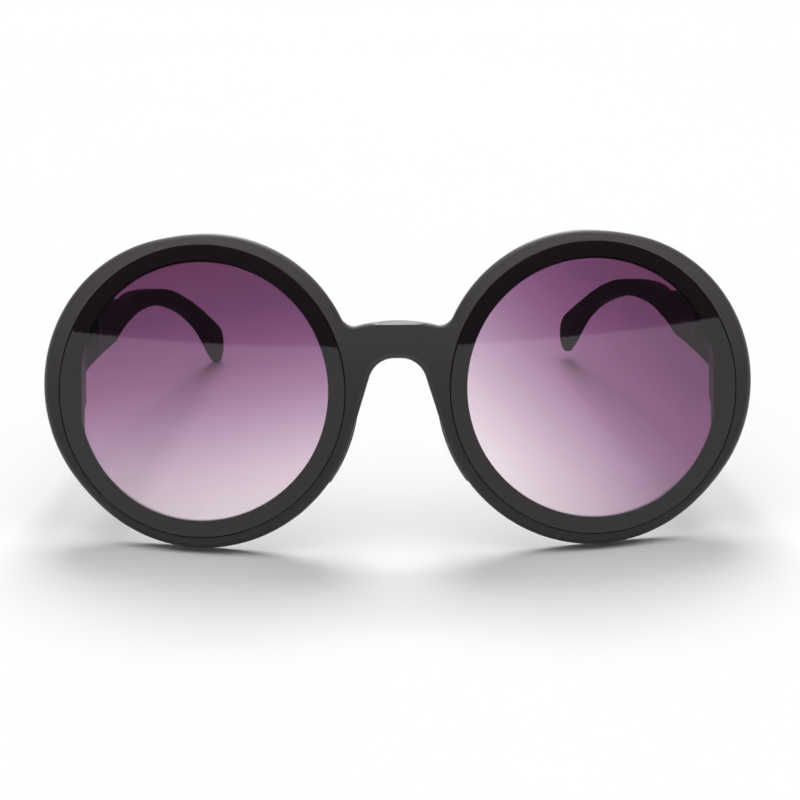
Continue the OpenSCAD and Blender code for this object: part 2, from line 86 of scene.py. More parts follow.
def angle_of(v):
    return degrees(atan2(v.y, v.x))


def arc(centre, r, start, end, steps):
    """Points of an arc from one angle to another."""
    return [centre + toward(start + (end - start) * i / steps, r) for i in range(steps + 1)]


def meet(p, rp, q, rq):
    """Upper meeting point of two circles."""
    d = (q - p).length
    u = (q - p) / d
    a = (rp * rp - rq * rq + d * d) / (2 * d)
    return p + a * u + sqrt(rp * rp - a * a) * Vector((-u.y, u.x))


def bend(a, b, c, steps=14):
    """Points of a smooth bend from a to c that leaves and arrives along the lines to b."""
    return [
        (1 - t) ** 2 * a + 2 * t * (1 - t) * b + t * t * c
        for t in (i / steps for i in range(steps + 1))
    ]


def wrap_y(x, depth):
    """Depth along Y of the wrapped front's layer at x."""
    return WRAP_R - sqrt((WRAP_R - depth) ** 2 - x * x)


# Places that the front, the lugs and the temples share
RIM_R = LENS_R + RIM_W
OPENING_R = LENS_R - LEDGE_W
RECESS_R = LENS_R + LENS_GAP
SEAT_T = LENS_T + BOND_T
LENS_AT = Vector((LENS_SPACING / 2, 0))
RIM_AT = LENS_AT - Vector((RIM_INSET, 0))
SWELL_R = SWELL_SHARE * RIM_R
SWELL_AT = LENS_AT + toward(SWELL_DEG, RIM_R + SWELL_W - SWELL_R)
NOSE_SWELL_AT = RIM_AT + toward(180 - NOSE_SWELL_DEG, RIM_R + NOSE_SWELL_W - SWELL_R)
CROWN_AT = Vector((0, BRIDGE_TOP - CROWN_R))
FILLET_AT = meet(CROWN_AT, CROWN_R + FILLET_R, NOSE_SWELL_AT, SWELL_R + FILLET_R)
OUTER_X = LENS_AT.x + RIM_R + SWELL_W
FACE_X = OUTER_X - TEMPLE_INSET
JOINT_Y = wrap_y(FACE_X, FRONT_T) + LUG_DEPTH
HINGE_X = FACE_X - HINGE_OFF
HINGE_Z = TEMPLE_TOP - TEMPLE_H / 2
LUG_TOP = TEMPLE_TOP + LUG_MARGIN
FOOT_Y = JOINT_Y - LUG_DEPTH + FOOT_DEPTH

# Leaning the upright frame back until the rims and the right tip touch the ground
rim_low = [RIM_AT + toward(a, RIM_R) for a in range(-120, -59)]
rim_front = [RIM_AT + toward(a, RIM_R) for a in range(-150, -59)]
DROP = max(wrap_y(p.x, FRONT_T) * sin(radians(LEAN)) - p.y * cos(radians(LEAN)) for p in rim_low)
FRONT_MOST = min(
    wrap_y(p.x, 0) * cos(radians(LEAN)) + p.y * sin(radians(LEAN)) for p in rim_front
)

# Side outline of the temple, as points of depth and height
TEMPLE_L = REACH - JOINT_Y
low_at = Vector((
    REACH - TIP_LOW_R,
    (TIP_LOW_R - DROP + (REACH - TIP_LOW_R) * sin(radians(LEAN))) / cos(radians(LEAN)),
))
top_at = Vector((REACH - TIP_TOP_R, low_at.y + TIP_END_H))
top_front = Vector((JOINT_Y + JOINT_GAP, TEMPLE_TOP))
low_front = Vector((JOINT_Y + JOINT_GAP, TEMPLE_TOP - TEMPLE_H))
top_kink = Vector((JOINT_Y + TOP_KINK_SHARE * TEMPLE_L, TEMPLE_TOP - SHOULDER_DROP))
low_kink = Vector((JOINT_Y + LOW_KINK_SHARE * TEMPLE_L, top_kink.y - KINK_H))
crest_top = Vector((JOINT_Y + CREST_TOP_SHARE * TEMPLE_L, top_kink.y + CREST_RISE))
crest_low = Vector((JOINT_Y + CREST_LOW_SHARE * TEMPLE_L, crest_top.y - NECK_H))
top_rise = Vector((top_kink.x + TOP_RISE_SHARE * (crest_top.x - top_kink.x), crest_top.y))
low_rise = Vector((low_kink.x + LOW_RISE_SHARE * (crest_low.x - low_kink.x), crest_low.y))
ear_top = Vector((JOINT_Y + EAR_TOP_SHARE * TEMPLE_L, crest_top.y))
ear_low = Vector((JOINT_Y + EAR_LOW_SHARE * TEMPLE_L, crest_low.y))
top_deg = angle_of(top_at - ear_top) + degrees(asin(TIP_TOP_R / (top_at - ear_top).length))
low_deg = angle_of(low_at - ear_low) - degrees(asin(TIP_LOW_R / (low_at - ear_low).length))
bend_y = JOINT_Y + BEND_SHARE * TEMPLE_L
top_bend = Vector((bend_y, ear_top.y + (bend_y - ear_top.x) * tan(radians(top_deg))))
low_bend = low_at + toward(low_deg - 90, TIP_LOW_R)
TIP_FOOT = low_at.y - TIP_LOW_R
BACK_MOST = top_at.x * cos(radians(LEAN)) + top_at.y * sin(radians(LEAN)) + TIP_TOP_R
TEMPLE_OUTLINE = (
    arc(top_front + Vector((END_CORNER_R, -END_CORNER_R)), END_CORNER_R, 180, 90, 12)
    + bend(top_kink, top_rise, crest_top)
    + bend(crest_top, ear_top, top_bend)[1:]
    + arc(top_at, TIP_TOP_R, 90 + top_deg, 0, 20)
    + arc(low_at, TIP_LOW_R, 0, low_deg - 90, 14)
    + bend(low_bend, ear_low, crest_low, 24)[1:]
    + bend(crest_low, low_rise, low_kink)[1:]
    + [low_front]
)

# From the upright frame in millimetres to the row frame in metres, and the left temple's turn
Y_MID = (FRONT_MOST + BACK_MOST) / 2
LEANED = Matrix.Rotation(radians(-LEAN), 4, "X")
DOWN = Matrix.Scale(MM, 4) @ Matrix.Translation((0, -Y_MID, DROP)) @ LEANED
HINGE = Matrix.Translation((HINGE_X, JOINT_Y, HINGE_Z))
FOLDED, LIFTED = (Matrix.Rotation(radians(a), 4, k) for a, k in ((LEFT_FOLD, "Z"), (LEFT_LIFT, "X")))
TURNED = HINGE @ FOLDED @ LIFTED @ HINGE.inverted()


def front_outline():
    """Outline of the front, clockwise from the middle of the crown, seen by someone who faces it."""
    arch_half = ARCH_SHARE * (RIM_AT.x - RIM_R)
    corner_r = CORNER_SHARE * arch_half
    corner_at = Vector((arch_half - corner_r, BRIDGE_TOP - BRIDGE_H - corner_r))
    to_rim = RIM_AT - corner_at
    flank_deg = angle_of(to_rim) + degrees(acos((corner_r + RIM_R) / to_rim.length))
    crown_deg = angle_of(FILLET_AT - CROWN_AT)
    swell_deg = angle_of(FILLET_AT - NOSE_SWELL_AT)
    rim_deg = angle_of(NOSE_SWELL_AT + toward(swell_deg, SWELL_R) - RIM_AT)
    steps = 260
    ways = [toward(rim_deg + (flank_deg - 180 - rim_deg) * i / steps) for i in range(steps + 1)]
    reaches = [
        max(
            [RIM_R]
            + [
                off.dot(u) + sqrt(off.dot(u) ** 2 - off.length_squared + SWELL_R**2)
                for off in (SWELL_AT - RIM_AT, NOSE_SWELL_AT - RIM_AT)
            ]
        )
        for u in ways
    ]
    rim = []
    for i in range(1, steps):
        near = min(BLEND_STEPS, i, steps - i)
        around = reaches[i - near:i + near + 1]
        rim.append(RIM_AT + ways[i] * (sum(around) / len(around)))
    half = (
        arc(CROWN_AT, CROWN_R, 90, crown_deg, 12)
        + arc(FILLET_AT, FILLET_R, crown_deg - 180, swell_deg - 180, 12)[1:]
        + rim
        + arc(corner_at, corner_r, flank_deg, 90, 24)
    )
    return half + [Vector((-p.x, p.y)) for p in reversed(half[1:-1])]


# Shaping, as by hand


def only(piece):
    """Selects one piece and nothing else."""
    bpy.ops.object.select_all(action="DESELECT")
    piece.select_set(True)
    bpy.context.view_layer.objects.active = piece


def close():
    bpy.ops.object.mode_set(mode="OBJECT")


def blank(name, outline, side, thick):
    """Cuts a blank of an outline. side lays an outline point out at a depth."""
    bpy.ops.mesh.primitive_circle_add(vertices=len(outline), fill_type="NGON")
    piece = bpy.context.object
    piece.name = name
    for vertex, point in zip(piece.data.vertices, outline):
        vertex.co = side(point, 0)
    only(piece)
    bpy.ops.object.mode_set(mode="EDIT")
    bpy.ops.mesh.select_all(action="SELECT")
    along = Vector(side(Vector((0, 0)), thick)) - Vector(side(Vector((0, 0)), 0))
    bpy.ops.mesh.extrude_region_move(TRANSFORM_OT_translate={"value": along})
    bpy.ops.mesh.select_all(action="SELECT")
    bpy.ops.mesh.normals_make_consistent(inside=False)
    close()
    return piece


def disc(name, centre, r, front, back, sides=256):
    """Round disc whose axis runs along Y."""
    bpy.ops.mesh.primitive_cylinder_add(
        vertices=sides, radius=r, depth=back - front,
        location=(centre.x, (front + back) / 2, centre.y), rotation=(pi / 2, 0, 0),
    )
    piece = bpy.context.object
    piece.name = name
    only(piece)
    bpy.ops.object.transform_apply()
    return piece


def block(name, low, high):
    """Box between two corners."""
    low, high = Vector(low), Vector(high)
    bpy.ops.mesh.primitive_cube_add(size=1, location=(low + high) / 2, scale=high - low)
    piece = bpy.context.object
    piece.name = name
    only(piece)
    bpy.ops.object.transform_apply()
    return piece


def combine(piece, tool, how):
    """Cuts a tool out of a piece, or joins it on, and clears the tool away."""
    only(piece)
    change = piece.modifiers.new("shape", "BOOLEAN")
    change.operation, change.object, change.solver = how, tool, "EXACT"
    bpy.ops.object.modifier_apply(modifier=change.name)
    bpy.data.objects.remove(tool)


def round_off(piece, r, wanted, segments):
    """Rounds the edges whose points all pass a test."""
    only(piece)
    bpy.ops.object.mode_set(mode="EDIT")
    bpy.ops.mesh.select_mode(type="EDGE")
    bpy.ops.mesh.select_all(action="DESELECT")
    bpy.ops.object.mode_set(mode="OBJECT")
    points = [v.co for v in piece.data.vertices]
    for edge in piece.data.edges:
        edge.select = all(wanted(points[i]) for i in edge.vertices)
    bpy.ops.object.mode_set(mode="EDIT")
    bpy.ops.mesh.bevel(offset=r, segments=segments, profile=0.5, clamp_overlap=False)
    close()


def soften(piece, r, angle):
    """Rounds every edge that is sharper than an angle."""
    only(piece)
    change = piece.modifiers.new("soften", "BEVEL")
    change.width, change.segments, change.limit_method = r, 3, "ANGLE"
    change.angle_limit = radians(angle)
    bpy.ops.object.modifier_apply(modifier=change.name)


def saw(piece, point, normal, keep_both=False):
    """Cuts a piece along a plane, and takes off what lies past it unless both sides are kept."""
    only(piece)
    bpy.ops.object.mode_set(mode="EDIT")
    bpy.ops.mesh.select_all(action="SELECT")
    bpy.ops.mesh.bisect(
        plane_co=point, plane_no=normal, use_fill=not keep_both, clear_outer=not keep_both
    )
    close()


def score(piece, axis, low, high, step):
    """Crosses a piece with flat cuts a step apart, so that it can be curved smoothly."""
    count = round((high - low) / step)
    for i in range(count + 1):
        at, normal = Vector((0, 0, 0)), Vector((0, 0, 0))
        at[axis], normal[axis] = low + (high - low) * i / count, 1
        saw(piece, at, normal, keep_both=True)


def wrap(piece):
    """Curves a flat piece round the face."""
    for vertex in piece.data.vertices:
        vertex.co.y = wrap_y(vertex.co.x, vertex.co.y)


def bow(piece):
    """Bows a flat temple inwards along its length."""
    for vertex in piece.data.vertices:
        off = sqrt((BOW_R + vertex.co.x - FACE_X) ** 2 - (vertex.co.y - JOINT_Y) ** 2)
        vertex.co.x = FACE_X - BOW_R + off


def mirrored(piece, name):
    """The same piece for the right side, with a mesh of its own."""
    twin = piece.copy()
    twin.data = piece.data.copy()
    twin.name = name
    bpy.context.scene.collection.objects.link(twin)
    only(twin)
    twin.scale.x = -1
    bpy.ops.object.transform_apply()
    bpy.ops.object.mode_set(mode="EDIT")
    bpy.ops.mesh.select_all(action="SELECT")
    bpy.ops.mesh.remove_doubles(threshold=1e-5)
    bpy.ops.mesh.normals_make_consistent(inside=False)
    close()
    return twin


def set_down(piece, move=Matrix.Identity(4)):
    """Puts a shaped piece in its place in the row frame."""
    only(piece)
    piece.matrix_world = DOWN @ move
    bpy.ops.object.transform_apply()


def smooth(piece, angle=32):
    """Shades a piece smoothly over its soft edges, with its broad faces left flat."""
    only(piece)
    bpy.ops.object.shade_smooth_by_angle(angle=radians(angle))
    even = piece.modifiers.new("even", "WEIGHTED_NORMAL")
    even.keep_sharp = True
    bpy.ops.object.modifier_apply(modifier=even.name)


# Finishes


class Value:
    """A number that changes over a surface, with Python's operators."""

    def __init__(self, finish, socket):
        self.finish, self.socket = finish, socket

    def math(self, operation, *numbers):
        node = self.finish.node(
            "ShaderNodeMath", {"operation": operation},
            dict(zip(("Value", "Value_001", "Value_002"), numbers)),
        )
        return Value(self.finish, node.outputs["Value"])

    def __add__(self, other):
        return self.math("ADD", self, other)

    def __sub__(self, other):
        return self.math("SUBTRACT", self, other)

    def __rsub__(self, other):
        return self.math("SUBTRACT", other, self)

    def __mul__(self, other):
        return self.math("MULTIPLY", self, other)

    def __truediv__(self, other):
        return self.math("DIVIDE", self, other)

    __radd__, __rmul__ = __add__, __mul__

    def clamped(self):
        """The number kept between 0 and 1."""
        node = self.finish.node("ShaderNodeClamp", None, {"Value": self})
        return Value(self.finish, node.outputs["Result"])


class Finish:
    """The nodes of a material or of the studio's light. Noise scales are patches per metre."""

    def __init__(self, name, owner=None):
        self.owner = owner or bpy.data.materials.new(name)
        self.owner.use_nodes = True
        self.tree = self.owner.node_tree
        self.tree.nodes.clear()

    def node(self, kind, settings=None, inputs=None):
        """Adds a node: its settings first, then the values or links of its sockets."""
        node = self.tree.nodes.new(kind)
        for name, value in (settings or {}).items():
            if name == "stops":
                ramp = node.color_ramp
                while len(ramp.elements) < len(value):
                    ramp.elements.new(1)
                for element, (at, colour) in zip(ramp.elements, value):
                    element.position, element.color = at, (*colour, 1)
            else:
                setattr(node, name, value)
        for name, value in (inputs or {}).items():
            socket = next(s for s in node.inputs if name in (s.identifier, s.name))
            if isinstance(value, Value):
                self.tree.links.new(value.socket, socket)
            elif isinstance(value, bpy.types.NodeSocket):
                self.tree.links.new(value, socket)
            else:
                socket.default_value = value
        return node

    def place(self):
        """Where a point lies on the object."""
        return self.node("ShaderNodeTexCoord").outputs["Object"]

    def noise(self, where, scale, detail=2.0, roughness=0.5):
        node = self.node(
            "ShaderNodeTexNoise", None,
            {"Vector": where, "Scale": scale, "Detail": detail, "Roughness": roughness},
        )
        return Value(self, node.outputs["Fac"])

    def mix(self, share, a, b):
        """Colour between a and b."""
        node = self.node(
            "ShaderNodeMix", {"data_type": "RGBA"},
            {"Factor_Float": share, "A_Color": a, "B_Color": b},
        )
        return next(s for s in node.outputs if s.identifier == "Result_Color")

    def surface(self, shader):
        self.node("ShaderNodeOutputMaterial", None, {"Surface": shader.outputs[0]})
        return self.owner


def rgb(r, g, b):
    return (r, g, b, 1)


# How late the front's painted shade gives way to painted light on its way up, and how much clouding it
# keeps there
FADE_POWER, FADE_MOTTLE = 2.7, 0.12
# The painted highlight on upper edges, its colour, and how it starts and grows as a face turns up
EDGE_HIGHLIGHT, EDGE_HIGHLIGHT_START, EDGE_HIGHLIGHT_GROWTH = (0.56, 0.51, 0.53), 0.3, 1.6


def soft_touch(name, dark, light, roughness, gloss=0.5, fades=False, edge_highlight=0.0):
    """Matte charcoal plastic with a soft-touch coat: a fine grain and faint clouding.

    With painted shade, it is darkest at the foot of the rims and paler towards the top. A painted
    highlight pales its upper edges."""
    finish = Finish(name)
    where = finish.place()
    cloud = finish.noise(where, 45, 3)
    grain = finish.noise(where, 5200, 2, 0.6)
    speck = finish.noise(where, 1700, 1)
    bump = finish.node(
        "ShaderNodeBump", None,
        {"Strength": 0.12, "Distance": 0.00004, "Height": grain + speck * 0.5},
    )
    mottle = cloud * 0.6 + grain * 0.4
    # Painted shade and light: the charcoal is darkened towards the foot of the rims and paled towards
    # the top, as light falling from above would do.
    if fades:
        away = finish.node(
            "ShaderNodeVectorMath", {"operation": "SUBTRACT"},
            {"Vector": where, "Vector_001": DOWN @ Vector((0, 0, 0))},
        )
        height = finish.node(
            "ShaderNodeVectorMath", {"operation": "DOT_PRODUCT"},
            {
                "Vector": away.outputs["Vector"],
                "Vector_001": LEANED @ Vector((0, 0, 1)) / (2 * RIM_R * MM),
            },
        )
        share = (Value(finish, height.outputs["Value"]) + 0.5).clamped()
        painted_light_share = share.math("POWER", share, FADE_POWER)
        mottle = (painted_light_share + (mottle - 0.5) * FADE_MOTTLE).clamped()
    colour = finish.mix(mottle, rgb(*dark), rgb(*light))
    # Painted highlight: faces that turn up and away from view are paled, as light from above and behind
    # would catch them.
    if edge_highlight:
        weight = finish.node("ShaderNodeLayerWeight", None, {"Blend": 0.5})
        away = Value(finish, weight.outputs["Facing"])
        normal = finish.node("ShaderNodeNewGeometry").outputs["Normal"]
        parts = finish.node("ShaderNodeSeparateXYZ", None, {"Vector": normal})
        up = (Value(finish, parts.outputs["Z"]) * EDGE_HIGHLIGHT_GROWTH - EDGE_HIGHLIGHT_START).clamped()
        colour = finish.mix(away * away * up * edge_highlight, colour, rgb(*EDGE_HIGHLIGHT))
    shader = finish.node(
        "ShaderNodeBsdfPrincipled", None,
        {
            "Base Color": colour,
            "Roughness": roughness + (cloud - 0.5) * 0.06 + (grain - 0.5) * 0.05,
            "IOR": 1.45,
            "Specular IOR Level": gloss,
            "Normal": bump.outputs["Normal"],
        },
    )
    return finish.surface(shader)


def adhesive(name, dark, light):
    """Set adhesive: black, slightly uneven in colour and gloss."""
    finish = Finish(name)
    patch = finish.noise(finish.place(), 700, 3)
    shader = finish.node(
        "ShaderNodeBsdfPrincipled", None,
        {
            "Base Color": finish.mix(patch, rgb(*dark), rgb(*light)),
            "Roughness": 0.9 + (patch - 0.5) * 0.1,
            "Specular IOR Level": 0.0,
        },
    )
    return finish.surface(shader)


def tint_stop(mm, colour):
    return 0.5 + mm / (2 * LENS_R), colour


# How much red, green and blue light passes the lens, from its clear end to its dark end
TINT = [
    tint_stop(-27, (0.87, 0.76, 0.82)),
    tint_stop(-18, (0.67, 0.52, 0.635)),
    tint_stop(-9, (0.475, 0.31, 0.455)),
    tint_stop(-3, (0.365, 0.20, 0.335)),
    tint_stop(3, (0.28, 0.125, 0.25)),
    tint_stop(9, (0.22, 0.088, 0.195)),
    tint_stop(16, (0.165, 0.061, 0.142)),
    tint_stop(27, (0.14, 0.044, 0.108)),
]

# The lens's opaque rim starts just outside the bond ring's inner edge and is full a step further out
BACKED_FROM, BACKED_STEP = LENS_R - BOND_MARGIN - BOND_W + 0.2, 0.05
BACKED_COLOUR = (0.011, 0.007, 0.009)


def tinted_lens(name, side, turn):
    """Violet lens whose tint fades along a line turned from the upright.

    Its rim is opaque: there the black adhesive wets it from behind."""
    finish = Finish(name)
    upright = LEANED @ Vector((sin(radians(turn)), 0, cos(radians(turn))))
    middle = DOWN @ Vector((side * LENS_AT.x, wrap_y(LENS_AT.x, LENS_T / 2), 0))
    away = finish.node(
        "ShaderNodeVectorMath", {"operation": "SUBTRACT"},
        {"Vector": finish.place(), "Vector_001": middle},
    )
    along = finish.node(
        "ShaderNodeVectorMath", {"operation": "DOT_PRODUCT"},
        {"Vector": away.outputs["Vector"], "Vector_001": upright / (2 * LENS_R * MM)},
    )
    share = Value(finish, along.outputs["Value"]) + 0.5
    fade = finish.node("ShaderNodeValToRGB", {"stops": TINT}, {"Fac": share})
    shader = finish.node(
        "ShaderNodeBsdfPrincipled", None,
        {
            "Base Color": fade.outputs["Color"],
            "Roughness": 0.0,
            "IOR": 1.5,
            "Transmission Weight": 1.0,
        },
    )
    backed = finish.node(
        "ShaderNodeBsdfPrincipled", None,
        {"Base Color": rgb(*BACKED_COLOUR), "Roughness": 0.0, "IOR": 1.45},
    )
    reach = finish.node(
        "ShaderNodeVectorMath", {"operation": "LENGTH"}, {"Vector": away.outputs["Vector"]}
    )
    past_bond = Value(finish, reach.outputs["Value"]) - BACKED_FROM * MM
    rim = (past_bond / (BACKED_STEP * MM)).clamped()
    mixed = finish.node(
        "ShaderNodeMixShader", None,
        {"Fac": rim, "Shader": shader.outputs[0], "Shader_001": backed.outputs[0]},
    )
    return finish.surface(mixed)


def metal(name, colour, roughness):
    """Small metal part with a faintly worn surface, duller and brighter by patches."""
    finish = Finish(name)
    where = finish.place()
    wear = finish.noise(where, 900, 3)
    fine = finish.noise(where, 7000, 1)
    dull, bright = (rgb(*(c * share for c in colour)) for share in (0.75, 1.3))
    shader = finish.node(
        "ShaderNodeBsdfPrincipled", None,
        {
            "Base Color": finish.mix(wear, dull, bright),
            "Metallic": 1.0,
            "Roughness": roughness + (wear - 0.5) * 0.15 + (fine - 0.5) * 0.05,
        },
    )
    return finish.surface(shader)


def dress(piece, material):
    """Gives a piece or a CAD node one finish all over."""
    if not piece.data.materials:
        piece.data.materials.append(material)
    for place in piece.material_slots:
        place.material = material


# Front


def front_frame():
    """One-piece front: outline, rounded edges, lens recesses, crown facet, wrap and lugs."""
    piece = blank("front_shell", front_outline(), lambda p, d: (p.x, d, p.y), FRONT_T)
    round_off(piece, FRONT_EDGE, lambda p: p.y < NEAR, 5)
    round_off(piece, BACK_EDGE, lambda p: p.y > FRONT_T - NEAR, 4)
    for side in (1, -1):
        centre = Vector((side * LENS_AT.x, 0))
        combine(piece, disc("cutter", centre, OPENING_R, -PAST, FRONT_T + PAST), "DIFFERENCE")
        combine(piece, disc("cutter", centre, RECESS_R, -PAST, SEAT_T), "DIFFERENCE")

    def on_ring(p, r):
        return abs(hypot(abs(p.x) - LENS_AT.x, p.z) - r) < RING_NEAR

    round_off(piece, RECESS_EDGE, lambda p: p.y < NEAR and on_ring(p, RECESS_R), 2)
    round_off(
        piece, OPENING_EDGE, lambda p: p.y > FRONT_T - NEAR and on_ring(p, OPENING_R), 3
    )
    foot = CROWN_AT + (FILLET_AT - CROWN_AT).normalized() * CROWN_R
    wedge = blank(
        "cutter",
        [
            Vector((-PAST, foot.y)), Vector((0, foot.y)), Vector((BEVEL_DEPTH, BRIDGE_TOP)),
            Vector((BEVEL_DEPTH, BRIDGE_TOP + PAST)), Vector((-PAST, BRIDGE_TOP + PAST)),
        ],
        lambda p, d: (d - foot.x, p.x, p.y),
        2 * foot.x,
    )
    combine(piece, wedge, "DIFFERENCE")
    score(piece, 0, -FRONT_CUTS, FRONT_CUTS, FRONT_STEP)
    wrap(piece)
    lug_l = lug()
    lug_r = mirrored(lug_l, "lug_right")
    combine(piece, lug_l, "UNION")
    combine(piece, lug_r, "UNION")
    pocket_y = wrap_y(FACE_X, FRONT_T) + LUG_MARGIN / 2 - FIT_GAP
    for side in (1, -1):
        near_x, far_x = sorted((side * (FACE_X - PAST), side * (FACE_X + LEAF_SINK)))
        pocket = block(
            "cutter",
            (near_x, pocket_y, HINGE_Z - HINGE_H / 2 - FIT_GAP),
            (far_x, JOINT_Y + PAST, HINGE_Z + HINGE_H / 2 + FIT_GAP),
        )
        combine(piece, pocket, "DIFFERENCE")
    set_down(piece)
    smooth(piece)
    return piece


def lug():
    """Lug behind the left rim, tapered to the end of the temple, with a thin foot below."""
    piece = disc("lug_left", SWELL_AT, SWELL_R - LUG_MARGIN, LUG_ROOT_Y, JOINT_Y, 320)
    saw(piece, (FACE_X, 0, 0), (-1, 0, 0))
    saw(piece, (0, 0, FOOT_LOW), (0, 0, -1))
    saw(piece, (0, 0, LUG_TOP), (0, 0, 1))
    end_x = FACE_X + TEMPLE_T + LUG_MARGIN / 2
    slope = Vector((LUG_DEPTH, OUTER_X - end_x, 0))
    saw(piece, (end_x, JOINT_Y, 0), slope)
    step = [
        Vector((FOOT_Y, FOOT_LOW - PAST)),
        Vector((FOOT_Y, LUG_LOW - (LUG_DEPTH - FOOT_DEPTH) / 2)),
        Vector((JOINT_Y, LUG_LOW)),
        Vector((JOINT_Y + PAST, LUG_LOW)),
        Vector((JOINT_Y + PAST, FOOT_LOW - PAST)),
    ]
    cutter = blank("cutter", step, lambda p, d: (FACE_X - PAST + d, p.x, p.y), OUTER_X - FACE_X)
    combine(piece, cutter, "DIFFERENCE")
    soften(piece, LUG_EDGE, LUG_EDGE_DEG)
    return piece


# Temples


def temple():
    """Left temple: outline, rounded edges, thinned tip, inward bow, end facet and leaf pocket."""
    piece = blank(
        "temple_arm_left", TEMPLE_OUTLINE, lambda p, d: (FACE_X + d, p.x, p.y), TEMPLE_T
    )
    for x in (FACE_X, FACE_X + TEMPLE_T):
        round_off(piece, TEMPLE_EDGE, lambda p, x=x: abs(p.x - x) < NEAR, 4)
    score(piece, 1, JOINT_Y + 2, REACH - 2, TEMPLE_STEP)
    score(piece, 2, TIP_FOOT + 1, TIP_FOOT + TIP_THIN_H, TIP_STEP)
    middle = FACE_X + TEMPLE_T / 2
    for vertex in piece.data.vertices:
        rise = (vertex.co.z - TIP_FOOT) / TIP_THIN_H
        if vertex.co.y > low_at.x - TIP_THIN_L and rise < 1:
            thin = 1 - TIP_THIN_SHARE * (1 - rise) ** 2
            vertex.co.x = middle + (vertex.co.x - middle) * thin
    bow(piece)
    fade = atan((TEMPLE_T - FACET_IN) * cos(radians(FACET_DEG)) / (FACET_SHARE * TEMPLE_L))
    normal = (
        cos(fade) * cos(radians(FACET_DEG)), -sin(fade), cos(fade) * sin(radians(FACET_DEG))
    )
    saw(piece, (FACE_X + FACET_IN, JOINT_Y, TEMPLE_TOP), normal)
    leaf_end = JOINT_Y + BARREL_D / 2 + JOINT_GAP + LEAF_L + FIT_GAP
    pocket = block(
        "cutter",
        (FACE_X - PAST, JOINT_Y - PAST, HINGE_Z - HINGE_H / 2 - FIT_GAP),
        (FACE_X + LEAF_SINK, leaf_end, HINGE_Z + HINGE_H / 2 + FIT_GAP),
    )
    combine(piece, pocket, "DIFFERENCE")
    return piece


def score_lens_wide(piece):
    """Crosses a piece as wide as the lens with upright cuts."""
    half = LENS_R - LENS_STEP
    score(piece, 0, LENS_AT.x - half, LENS_AT.x + half, LENS_STEP)


def lens():
    """Left lens: a thin disc with a fine chamfer, wrapped with the front."""
    piece = disc("tinted_lens_left", LENS_AT, LENS_R, 0, LENS_T)
    round_off(piece, LENS_EDGE, lambda p: p.y < NEAR, 2)
    round_off(piece, LENS_EDGE, lambda p: p.y > LENS_T - NEAR, 2)
    score_lens_wide(piece)
    wrap(piece)
    return piece


def bond():
    """Left bond ring, wetted onto the back of the lens and a hair clear of its ledge."""
    piece = disc("bond_ring_left", LENS_AT, LENS_R - BOND_MARGIN, LENS_T - WETTED, SEAT_T - HAIR)
    hole = disc("cutter", LENS_AT, LENS_R - BOND_MARGIN - BOND_W, 0, FRONT_T)
    combine(piece, hole, "DIFFERENCE")
    score_lens_wide(piece)
    wrap(piece)
    return piece


def nose_pad():
    """Left nose pad: a slanted dome whose edges are rounded over."""
    root_r = RIM_R - PAD_EDGE
    at = RIM_AT + toward(180 + PAD_DEG, root_r - PAD_W / 2)
    root_y = wrap_y(at.x, FRONT_T)
    dome_r = (PAD_LEN**2 / 4 + PAD_RISE**2) / (2 * PAD_RISE)
    slant, high = tan(radians(PAD_SLANT)), root_y + 2 * PAD_RISE
    bpy.ops.mesh.primitive_uv_sphere_add(
        segments=160, ring_count=80, radius=dome_r, location=(at.x, root_y - dome_r + PAD_RISE, at.y)
    )
    piece = bpy.context.object
    piece.name = "pad_left"
    only(piece)
    bpy.ops.object.transform_apply()
    bpy.ops.mesh.primitive_cone_add(
        vertices=256, radius1=root_r + root_y * slant, radius2=root_r + (root_y - high) * slant,
        depth=high, location=(RIM_AT.x, high / 2, 0), rotation=(-pi / 2, 0, 0),
    )
    cone = bpy.context.object
    only(cone)
    bpy.ops.object.transform_apply()
    combine(cone, disc("cutter", RIM_AT, root_r - PAD_W, -PAST, high + PAST), "DIFFERENCE")
    combine(piece, cone, "INTERSECT")
    saw(piece, (0, root_y - PAD_SINK, 0), (0, -1, 0))
    soften(piece, PAD_SOFT_EDGE, PAD_EDGE_DEG)
    return piece


# Materials, and the pieces in their places

# The front's charcoal carries painted shade at the foot of the rims, painted light towards the top, and
# a painted highlight on its upper edges.
front_matte = soft_touch(
    "front_matte", (0.015, 0.011, 0.012), (0.088, 0.079, 0.083), 0.36, fades=True, edge_highlight=0.6
)
# The temples' charcoal is painted darker than the front's: painted shade for the shadow they lie in.
temple_matte = soft_touch("temple_matte", (0.017, 0.014, 0.015), (0.026, 0.022, 0.024), 0.75, 0.2)
pad_matte = soft_touch("pad_matte", (0.030, 0.026, 0.028), (0.045, 0.040, 0.042), 0.55)
bond_black = adhesive("bond_black", (0.001, 0.001, 0.001), (0.004, 0.003, 0.004))
plated = metal("black_plating", (0.035, 0.035, 0.039), 0.38)
steel = metal("drawn_wire", (0.55, 0.55, 0.56), 0.3)

shell = front_frame()
dress(shell, front_matte)
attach(shell, "front")
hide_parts("front_frame")

arm_left = temple()
arm_right = mirrored(arm_left, "temple_arm_right")
for arm, side, move in ((arm_left, "left", TURNED), (arm_right, "right", Matrix.Identity(4))):
    set_down(arm, move)
    smooth(arm)
    dress(arm, temple_matte)
    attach(arm, "temple_" + side)
    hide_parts("temple_" + side)

